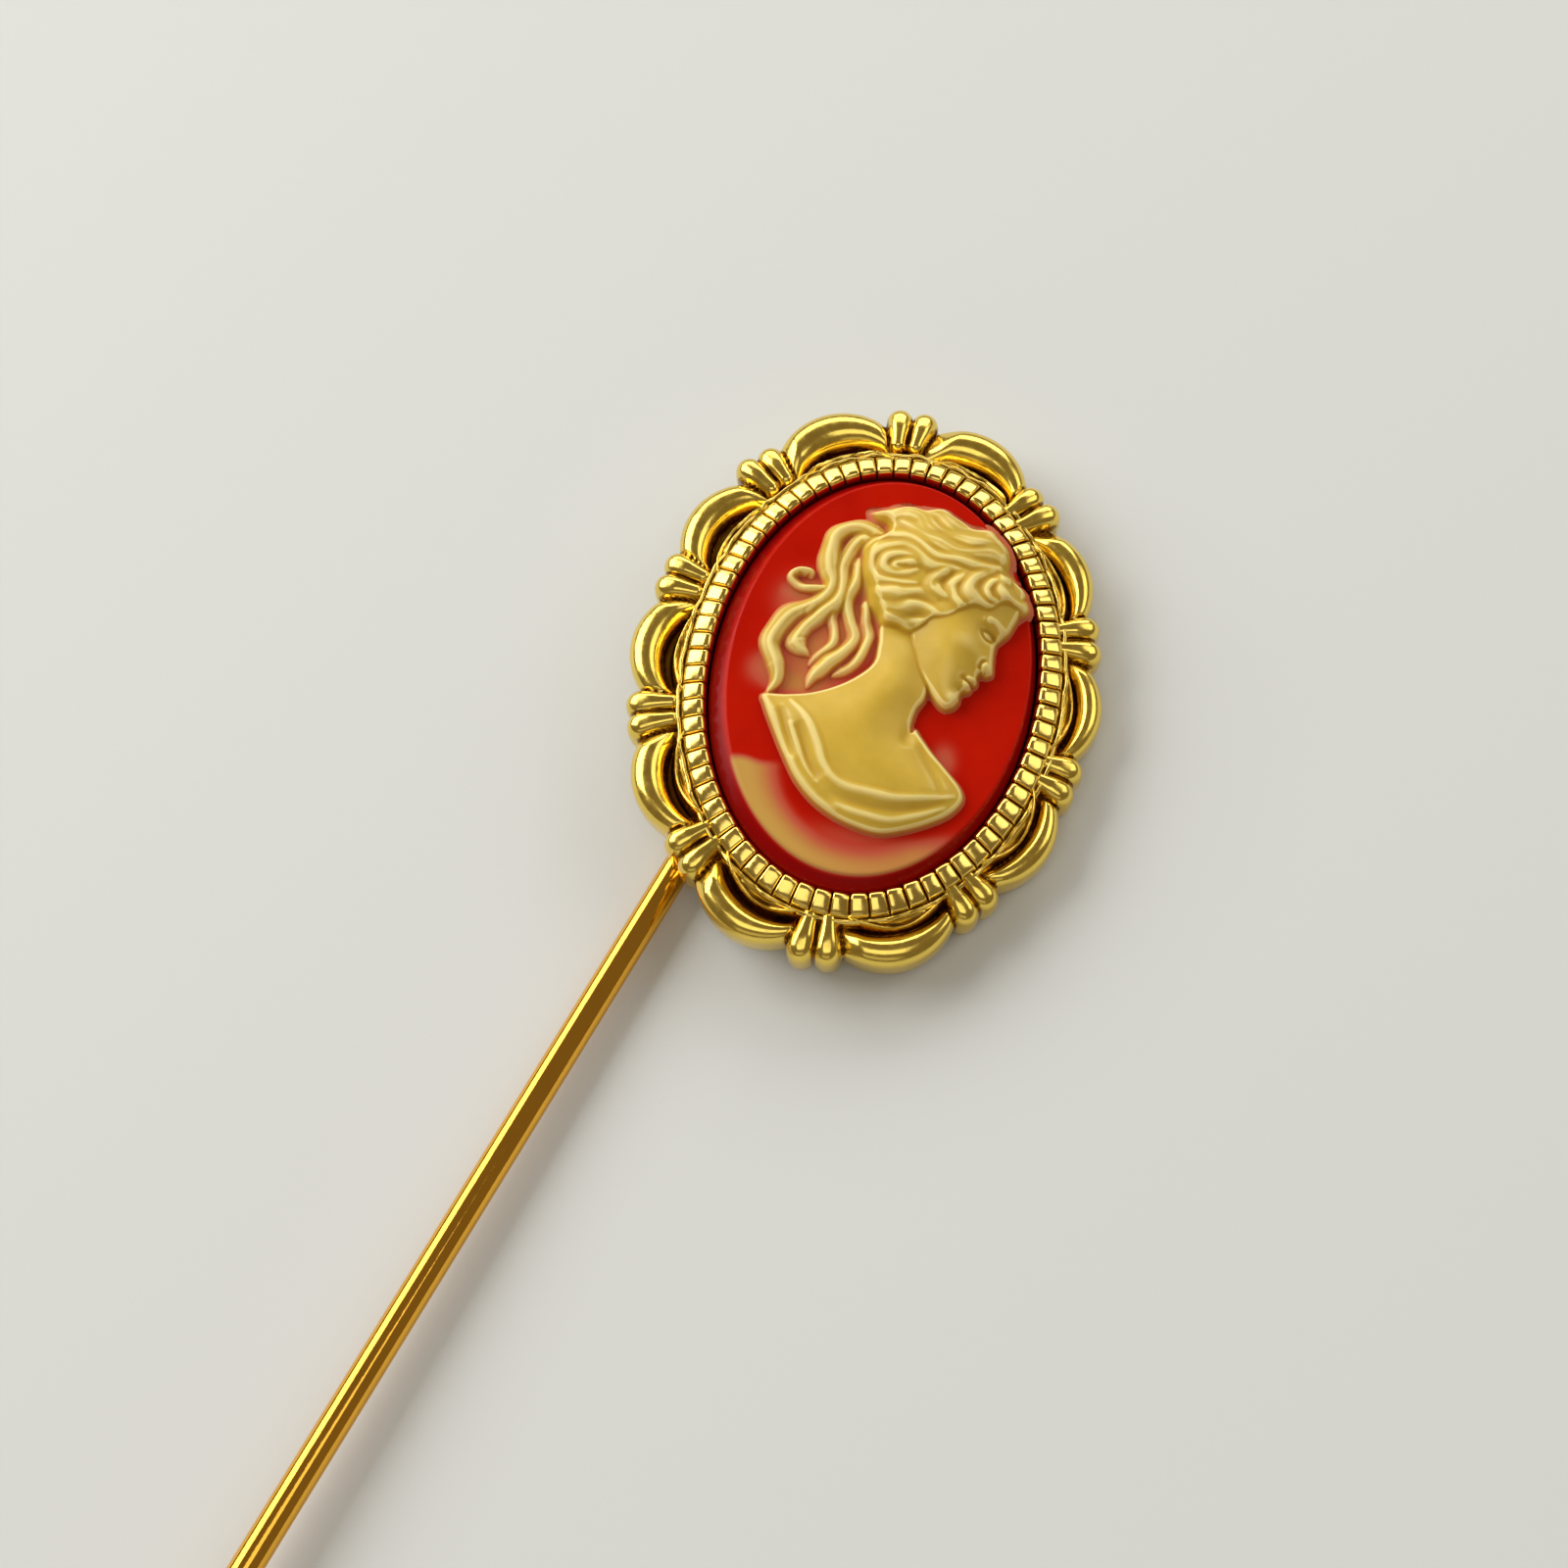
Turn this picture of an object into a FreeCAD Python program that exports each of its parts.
"""Hat pin with an oval cameo head, a polished wire and a point guard.

The head is modelled in head coordinates: X across the cameo, Y along it, Z out of its face, and
zero at the rim's underside.  The wire and the guard are modelled in pin coordinates: Y along the
wire, with the point towards -Y, and zero on the wire's axis under the middle of the soldered pad.
At the end everything is laid on its back, as on a table, with +Z up: the wire's head end, the
guard's mouth and one edge of the rim touch the plane Z = 0.
"""
import FreeCAD, Part
import math
import os
from FreeCAD import Placement, Rotation, Vector
from Sketcher import Constraint

SIZES = {
    # cameo and its seat
    "opening_length": (18.0, "opening of the bezel, long axis"),
    "opening_width": (13.0, "opening of the bezel, short axis"),
    "tray_floor": (1.05, "height of the seat the cameo is glued on"),
    "glue_film": (0.10, "thickness of each adhesive film"),
    "plate_gap": (0.10, "gap between the cameo plate and the bezel"),
    "plate_edge": (0.95, "height of the plate's upright edge"),
    "plate_bevel": (0.50, "width of the plate's sloped edge"),
    "plate_bevel_rise": (0.50, "height of the plate's sloped edge"),
    "bust_rise": (1.70, "height of the highest part of the bust over the plate"),
    # lace-edge setting
    "rim_base": (1.95, "width of the setting's flat band outside the opening"),
    "skirt_height": (1.35, "height of the upright outer skirt"),
    "bezel_height": (2.60, "height of the corded bezel"),
    "bezel_width": (0.95, "radial width of the corded bezel"),
    "seam_width": (1.12, "radial width out to the seam line"),
    "seam_height": (2.15, "height of the seam line"),
    "cord_groove": (0.16, "width of a groove between two cord ribs"),
    "cord_depth": (0.30, "depth of a groove between two cord ribs"),
    "cord_count": (72, "number of cord ribs"),
    "rim_shift_across": (-0.35, "lace rim off the opening's centre, across"),
    "rim_shift_along": (0.22, "lace rim off the opening's centre, along"),
    "end_stretch": (0.36, "how much further the lace reaches at the two ends"),
    "scallop_offset": (0.13, "scallop centres outside the opening"),
    "scallop_radius": (2.95, "outer radius of a scallop"),
    "ridge_radius": (0.70, "radius of the round ridge on a scallop"),
    "skirt_inset": (0.12, "upright skirt inside the ridge's outer edge"),
    "cluster_turn_a": (40.3, "ellipse angle of the clusters next to the ends"),
    "cluster_turn_b": (74.1, "ellipse angle of the clusters next to the sides"),
    "lobe_offset": (1.80, "middle of a lobe outside the opening"),
    "lobe_length": (2.10, "length of a lobe"),
    "lobe_width": (1.05, "width of a lobe"),
    "lobe_height": (0.75, "height of a lobe over the skirt"),
    "lobe_spread": (4.5, "angle between a lobe and its cluster's middle"),
    "recess_depth": (0.45, "depth of the hollow in the back"),
    "recess_inset": (0.20, "hollow's edge inside the opening's outline"),
    # pin blank
    "pad_diameter": (5.2, "soldering pad"),
    "pad_thickness": (0.40, "soldering pad"),
    "solder_film": (0.03, "solder between the pad and the wire"),
    "solder_radius": (0.95, "reach of the solder fillet from the wire's axis"),
    "solder_length": (3.6, "length of the solder fillet"),
    "wire_diameter": (1.20, "pin wire"),
    "wire_length": (100.0, "pin wire, end to point"),
    "wire_overlap": (2.20, "wire past the middle of the pad"),
    "point_length": (6.0, "tapered point"),
    "point_radius": (0.06, "radius at the very tip"),
    "head_turn": (19.4, "angle between the cameo's long axis and the wire"),
    "head_offset": (3.35, "cameo's centre to the side of the wire"),
    "head_reach": (12.0, "wire covered by the head, from the middle of the pad"),
    # point guard
    "guard_length": (11.6, "point guard, mouth to domed end"),
    "guard_diameter": (4.10, "barrel of the point guard"),
    "flange_diameter": (4.60, "flange at the guard's mouth"),
    "flange_length": (1.10, "flange at the guard's mouth"),
    "groove_length": (0.60, "groove behind the flange"),
    "groove_diameter": (3.50, "groove behind the flange"),
    "mouth_diameter": (1.60, "hole in the guard's mouth"),
    "lip_length": (0.50, "turned-in lip at the guard's mouth"),
    "grip_diameter": (2.70, "outside of the grip sleeve"),
    "grip_length": (8.40, "grip sleeve"),
    "grip_clearance": (0.03, "radial gap between the sleeve and the wire"),
    "engagement": (8.60, "wire inside the guard, mouth to point"),
}

doc = FreeCAD.newDocument("hat_pin")
sheet = doc.addObject("Spreadsheet::Sheet", "sizes")
for row, (alias, (value, note)) in enumerate(SIZES.items(), 1):
    sheet.set(f"A{row}", note)
    sheet.set(f"B{row}", str(value))
    sheet.setAlias(f"B{row}", alias)
doc.recompute()

Z_AXIS = Vector(0, 0, 1)


def size(alias):
    """The value of a driving dimension."""
    return float(getattr(sheet, alias))


def add(kind, name, position=None, rotation=None, **sizes):
    """A Part object whose sizes are bound to expressions on the sheet."""
    made = doc.addObject(kind, name)
    for prop, expression in sizes.items():
        made.setExpression(prop, expression)
    made.Placement = Placement(position or Vector(), rotation or Rotation())
    return made


def oval_prism(name, grow, low, high, across="0", along="0"):
    """Upright prism on the opening's outline, grown and shifted, between two heights."""
    outline = doc.addObject("Part::Ellipse", f"{name}_outline")
    outline.setExpression("MajorRadius", f"sizes.opening_length / 2 + ({grow})")
    outline.setExpression("MinorRadius", f"sizes.opening_width / 2 + ({grow})")
    outline.Placement = Placement(Vector(), Rotation(Z_AXIS, 90))
    for axis, expression in (("x", across), ("y", along), ("z", low)):
        outline.setExpression(f"Placement.Base.{axis}", expression)
    prism = doc.addObject("Part::Extrusion", name)
    prism.Base = outline
    prism.DirMode = "Custom"
    prism.Dir = Z_AXIS
    prism.setExpression("LengthFwd", f"({high}) - ({low})")
    prism.Solid = True
    return prism


def fuse(name, pieces):
    """Union of several objects."""
    union = doc.addObject("Part::MultiFuse", name)
    union.Shapes = pieces
    union.Refine = False
    return union


def cut(name, base, tool):
    """Base less tool."""
    result = doc.addObject("Part::Cut", name)
    result.Base = base
    result.Tool = tool
    result.Refine = False
    return result


def oval_point(turn, grow):
    """Point at an ellipse angle from +Y towards +X, on the opening's outline grown outwards."""
    across = size("opening_width") / 2 + grow
    along = size("opening_length") / 2 + grow
    angle = math.radians(turn)
    return Vector(across * math.sin(angle), along * math.cos(angle), 0)


def outward(turn, grow):
    """Direction in degrees about Z, from +X, of the outline's outward normal at an ellipse angle."""
    across = size("opening_width") / 2 + grow
    along = size("opening_length") / 2 + grow
    angle = math.radians(turn)
    return math.degrees(math.atan2(math.cos(angle) / along, math.sin(angle) / across))


def rim_point(turn, offset):
    """Point of the lace rim, which is off the opening's centre and reaches further at the ends."""
    stretch = size("end_stretch") * math.cos(math.radians(turn)) ** 4
    shift = Vector(size("rim_shift_across"), size("rim_shift_along"), 0)
    return oval_point(turn, offset + stretch) + shift


def even_turns(count, grow, steps=7200):
    """Ellipse angles that divide the grown outline into equal lengths."""
    points = [oval_point(360 * i / steps, grow) for i in range(steps + 1)]
    run = [0.0]
    for before, after in zip(points, points[1:]):
        run.append(run[-1] + before.distanceToPoint(after))
    turns = []
    i = 0
    for k in range(count):
        while run[i] < run[-1] * k / count:
            i += 1
        turns.append(360 * i / steps)
    return turns


# The setting has ten clusters and, halfway between each two, ten scallops.
turn_a = size("cluster_turn_a")
turn_b = size("cluster_turn_b")
quarter = [0, turn_a, turn_b]
CLUSTERS = quarter + [180 - turn for turn in reversed(quarter)]
CLUSTERS += [360 - turn for turn in reversed(CLUSTERS[1:-1])]
SCALLOPS = [(low + high) / 2 for low, high in zip(CLUSTERS, CLUSTERS[1:] + [360])]


def make_setting():
    """Lace-edge setting: tray, corded bezel, scallops with round ridges, and two-lobe clusters."""
    pieces = [
        oval_prism("rim_band", "sizes.rim_base", "0", "sizes.skirt_height",
                   "sizes.rim_shift_across", "sizes.rim_shift_along"),
        oval_prism("seam_line", "sizes.seam_width", "0", "sizes.seam_height"),
        oval_prism("bezel_wall", "sizes.bezel_width", "0", "sizes.bezel_height"),
    ]
    for i, turn in enumerate(SCALLOPS):
        centre = rim_point(turn, size("scallop_offset"))
        pieces.append(add("Part::Cylinder", f"scallop_{i}", centre,
                          Radius="sizes.scallop_radius - sizes.skirt_inset",
                          Height="sizes.skirt_height"))
        pieces.append(add("Part::Torus", f"ridge_{i}", centre + Z_AXIS * size("skirt_height"),
                          Radius1="sizes.scallop_radius - sizes.ridge_radius",
                          Radius2="sizes.ridge_radius"))
    pieces = [fuse("scalloped_ring", pieces)]
    for i, turn in enumerate(CLUSTERS):
        heading = outward(turn, size("lobe_offset"))
        side = Rotation(Z_AXIS, heading).multVec(Vector(0, size("lobe_width") / 2, 0))
        middle = rim_point(turn, size("lobe_offset")) + Z_AXIS * size("skirt_height")
        for k, sign in enumerate((-1, 1)):
            spin = Rotation(Z_AXIS, heading + sign * size("lobe_spread"))
            pieces.append(add("Part::Ellipsoid", f"lobe_{i}_{k}", middle + side * sign, spin,
                              Radius1="sizes.lobe_height", Radius2="sizes.lobe_length / 2",
                              Radius3="sizes.lobe_width / 2"))
    blank = fuse("setting_blank", pieces)
    top = "sizes.bezel_height + 1"
    seated = cut("setting_seated", blank, oval_prism("opening", "0", "sizes.tray_floor", top))
    hollow = oval_prism("back_hollow", "-sizes.recess_inset", "-1", "sizes.recess_depth")
    backed = cut("setting_backed", seated, hollow)
    grooves = []
    middle_of_cord = size("bezel_width") / 2
    for i, turn in enumerate(even_turns(int(size("cord_count")), middle_of_cord)):
        spin = Rotation(Z_AXIS, outward(turn, middle_of_cord))
        reach = Vector(size("bezel_width"), size("cord_groove") / 2, 0)
        corner = oval_point(turn, middle_of_cord) - spin.multVec(reach)
        corner.z = size("bezel_height") - size("cord_depth")
        grooves.append(add("Part::Box", f"cord_groove_{i}", corner, spin,
                           Length="2 * sizes.bezel_width", Width="sizes.cord_groove",
                           Height="2 * sizes.cord_depth"))
    comb = doc.addObject("Part::Compound", "cord_grooves")
    comb.Links = grooves
    return cut("setting", backed, comb)


def make_cameo_base():
    """Oval plate with an upright edge and a sloped edge above it."""
    low = "sizes.tray_floor + sizes.glue_film"
    shoulder = f"{low} + sizes.plate_edge"
    edge = oval_prism("plate_foot", "-sizes.plate_gap", low, shoulder)
    rings = []
    for name, grow, height in (("slope_low", "-sizes.plate_gap", shoulder),
                               ("slope_high", "-sizes.plate_gap - sizes.plate_bevel",
                                f"{shoulder} + sizes.plate_bevel_rise")):
        ring = doc.addObject("Part::Ellipse", name)
        ring.setExpression("MajorRadius", f"sizes.opening_length / 2 + ({grow})")
        ring.setExpression("MinorRadius", f"sizes.opening_width / 2 + ({grow})")
        ring.setExpression("Placement.Base.z", height)
        ring.Placement = Placement(Vector(), Rotation(Z_AXIS, 90))
        rings.append(ring)
    slope = doc.addObject("Part::Loft", "plate_slope")
    slope.Sections = rings
    slope.Solid = True
    slope.Ruled = True
    return fuse("cameo_base", [edge, slope])


# The bust as rounded masses on the plate: centre X, Y, half-width, half-length, share of bust_rise.
MASSES = {
    "hair": (1.9, 4.6, 3.3, 2.7, 1.00),
    "face": (3.3, 1.7, 1.9, 3.0, 0.80),
    "neck": (1.1, -0.9, 2.0, 2.6, 0.66),
    "shoulders": (0.0, -3.7, 3.6, 2.7, 0.76),
    "curls": (-2.4, 2.2, 1.8, 3.9, 0.45),
}


def make_cameo_relief():
    """Lady's bust in profile, plain: a union of half ellipsoids that stand on the plate."""
    plate_top = size("tray_floor") + size("glue_film") + size("plate_edge") + size("plate_bevel_rise")
    pieces = []
    for name, (across, along, half_width, half_length, share) in MASSES.items():
        mass = add("Part::Ellipsoid", f"bust_{name}", Vector(across, along, plate_top),
                   Radius1=f"sizes.bust_rise * {share}", Radius2=f"{half_width}",
                   Radius3=f"{half_length}")
        mass.Angle1 = 0
        pieces.append(mass)
    return fuse("cameo_relief", pieces)


def make_cameo_adhesive():
    """Glue film between the tray and the cameo plate."""
    low = "sizes.tray_floor"
    return oval_prism("cameo_adhesive", "-2 * sizes.plate_gap", low, f"{low} + sizes.glue_film")


def disc_body(name, diameter, thickness, chamfer=None):
    """PartDesign disc on the XY plane, its top edge chamfered where a size is given."""
    body = doc.addObject("PartDesign::Body", name)
    sketch = body.newObject("Sketcher::SketchObject", f"{name}_sketch")
    plane = [item for item in body.Origin.OriginFeatures if item.Role == "XY_Plane"][0]
    sketch.AttachmentSupport = [(plane, "")]
    sketch.MapMode = "FlatFace"
    sketch.addGeometry(Part.Circle(Vector(), Z_AXIS, 1), False)
    sketch.addConstraint(Constraint("Coincident", 0, 3, -1, 1))
    sketch.addConstraint(Constraint("Diameter", 0, 2))
    sketch.setExpression("Constraints[1]", diameter)
    pad = body.newObject("PartDesign::Pad", f"{name}_pad")
    pad.Profile = sketch
    pad.setExpression("Length", thickness)
    doc.recompute()
    if chamfer:
        edges = [f"Edge{i}" for i, edge in enumerate(pad.Shape.Edges, 1)
                 if edge.Closed and edge.BoundBox.ZMin < size("pad_thickness") / 2]
        bevel = body.newObject("PartDesign::Chamfer", f"{name}_chamfer")
        bevel.Base = (pad, edges)
        bevel.setExpression("Size", chamfer)
        doc.recompute()
    return body


def along_wire(kind, name, start, **sizes):
    """A round primitive on the wire's axis that starts at a Y value and runs towards the point."""
    return add(kind, name, Vector(0, start, 0), Rotation(Vector(1, 0, 0), 90), **sizes)


def make_solder_joint(wire_top):
    """Fillet of solder on both sides of the wire, flat where it meets the pad."""
    start = size("solder_length") / 2
    bead = along_wire("Part::Cylinder", "solder_bead", start,
                      Radius="sizes.solder_radius", Height="sizes.solder_length")
    slab = add("Part::Box", "solder_slab", Vector(-size("solder_radius"), -start, 0),
               Length="2 * sizes.solder_radius", Width="sizes.solder_length",
               Height="sizes.wire_diameter / 2 + sizes.solder_film")
    kept = doc.addObject("Part::Common", "solder_kept")
    kept.Base = bead
    kept.Tool = slab
    core = along_wire("Part::Cylinder", "solder_core", wire_top,
                      Radius="sizes.wire_diameter / 2", Height="sizes.wire_length / 2")
    return cut("solder_joint", kept, core)


def make_pin_shaft(wire_top):
    """Round wire with a long tapered point."""
    wire = along_wire("Part::Cylinder", "wire_round", wire_top,
                      Radius="sizes.wire_diameter / 2",
                      Height="sizes.wire_length - sizes.point_length")
    taper_start = wire_top - (size("wire_length") - size("point_length"))
    taper = along_wire("Part::Cone", "wire_taper", taper_start,
                       Radius1="sizes.wire_diameter / 2", Radius2="sizes.point_radius",
                       Height="sizes.point_length")
    return fuse("pin_shaft", [wire, taper])


def make_clutch_shell(mouth):
    """Barrel of the point guard: flanged mouth, groove, domed closed end, and the sleeve's seat."""
    flange = along_wire("Part::Cylinder", "guard_flange", mouth,
                        Radius="sizes.flange_diameter / 2", Height="sizes.flange_length")
    groove_start = mouth - size("flange_length")
    groove = along_wire("Part::Cylinder", "guard_groove", groove_start,
                        Radius="sizes.groove_diameter / 2", Height="sizes.groove_length")
    barrel_start = groove_start - size("groove_length")
    barrel_length = ("sizes.guard_length - sizes.flange_length - sizes.groove_length"
                     " - sizes.guard_diameter / 2")
    barrel = along_wire("Part::Cylinder", "guard_barrel", barrel_start,
                        Radius="sizes.guard_diameter / 2", Height=barrel_length)
    dome_centre = mouth - size("guard_length") + size("guard_diameter") / 2
    dome = along_wire("Part::Sphere", "guard_dome", dome_centre, Radius="sizes.guard_diameter / 2")
    outside = fuse("guard_outside", [flange, groove, barrel, dome])
    seat = along_wire("Part::Cylinder", "sleeve_seat", mouth - size("lip_length"),
                      Radius="sizes.grip_diameter / 2", Height="sizes.grip_length")
    hole = along_wire("Part::Cylinder", "mouth_hole", mouth + 1,
                      Radius="sizes.mouth_diameter / 2", Height="sizes.lip_length + 2")
    return cut("clutch_shell", outside, fuse("guard_inside", [seat, hole]))


def make_clutch_grip(mouth):
    """Nylon sleeve that grips the wire."""
    start = mouth - size("lip_length")
    sleeve = along_wire("Part::Cylinder", "sleeve_outside", start,
                        Radius="sizes.grip_diameter / 2", Height="sizes.grip_length")
    bore = along_wire("Part::Cylinder", "sleeve_bore", start + 1,
                      Radius="sizes.wire_diameter / 2 + sizes.grip_clearance",
                      Height="sizes.grip_length + 2")
    return cut("clutch_grip", sleeve, bore)


# Heights in head coordinates, and places along the wire in pin coordinates.
pad_low = size("recess_depth") - size("glue_film") - size("pad_thickness")
axis_low = size("wire_diameter") / 2 + size("solder_film") - pad_low
wire_top = size("wire_overlap")
wire_tip = wire_top - size("wire_length")
mouth = wire_tip + size("engagement")
free_top = -size("head_reach")
free_end = mouth + size("lip_length")

to_pin = Placement(Vector(size("head_offset"), 0, axis_low), Rotation(Z_AXIS, size("head_turn")))
pad_place = Placement(Vector(0, 0, pad_low + axis_low), Rotation())
film_place = Placement(Vector(0, 0, pad_low + axis_low + size("pad_thickness")), Rotation())
on_wire = Placement()

PARTS = [
    (make_setting(), to_pin),
    (make_cameo_adhesive(), to_pin),
    (make_cameo_base(), to_pin),
    (make_cameo_relief(), to_pin),
    (disc_body("pad_adhesive", "sizes.pad_diameter - 2 * sizes.glue_film", "sizes.glue_film"), film_place),
    (disc_body("mounting_pad", "sizes.pad_diameter", "sizes.pad_thickness", "sizes.glue_film"), pad_place),
    (make_solder_joint(wire_top), on_wire),
    (make_pin_shaft(wire_top), on_wire),
    (make_clutch_shell(mouth), on_wire),
    (make_clutch_grip(mouth), on_wire),
]
doc.recompute()

# Laying it down: it leans on the wire's head end and the guard's mouth, then rolls about the wire
# until the first scallop touches too.
wire_radius = size("wire_diameter") / 2
lean = math.asin((size("flange_diameter") / 2 - wire_radius) / (wire_top - mouth))
rolls = []
for turn in SCALLOPS:
    scallop = to_pin.multVec(rim_point(turn, size("scallop_offset")))
    reach = scallop.x + size("scallop_radius") - size("skirt_inset")
    drop = wire_radius + (wire_top - scallop.y) * math.tan(lean)
    if reach > 0:
        rolls.append(math.atan2(axis_low, reach) + math.asin(drop / math.hypot(reach, axis_low)))
roll = min(rolls)
laid = Rotation(Vector(1, 0, 0), -math.degrees(lean)) * Rotation(Vector(0, 1, 0), math.degrees(roll))

for piece, local in PARTS:
    piece.Label = piece.Name
    piece.Placement = Placement(Vector(), laid) * local * piece.Placement
doc.recompute()

# The origin is under the middle of the laid pin.
whole = Part.makeCompound([piece.Shape for piece, local in PARTS]).optimalBoundingBox(False, False)
to_origin = Vector(-whole.Center.x, -whole.Center.y, -whole.ZMin)
for piece, local in PARTS:
    piece.Placement = Placement(to_origin, Rotation()) * piece.Placement
doc.recompute()

for item in doc.Objects:
    if "Invalid" in item.State or "Error" in item.State:
        raise RuntimeError(f"{item.Name} failed: {item.State}")
os.makedirs("parts", exist_ok=True)
for piece, local in PARTS:
    if piece.Shape.isNull() or not piece.Shape.isValid():
        raise RuntimeError(f"{piece.Label} has no valid shape")
    piece.Shape.exportStep(f"parts/{piece.Label}.step")
    box = piece.Shape.BoundBox
    print(f"{piece.Label}: {piece.Shape.Volume:.3f} mm3, {len(piece.Shape.Solids)} solid, "
          f"z {box.ZMin:.3f} to {box.ZMax:.3f}")
axis = laid.multVec(Vector(0, -1, 0))
zero = laid.multVec(Vector()) + to_origin
centre = (Placement(to_origin, laid) * to_pin).multVec(Vector())
normal = laid.multVec(Z_AXIS)
print("wire axis", tuple(axis), "pad middle", tuple(zero), "free", free_top, free_end)
print("head centre", tuple(centre), "face normal", tuple(normal))
print("lean", math.degrees(lean), "roll", math.degrees(roll), "box", whole)
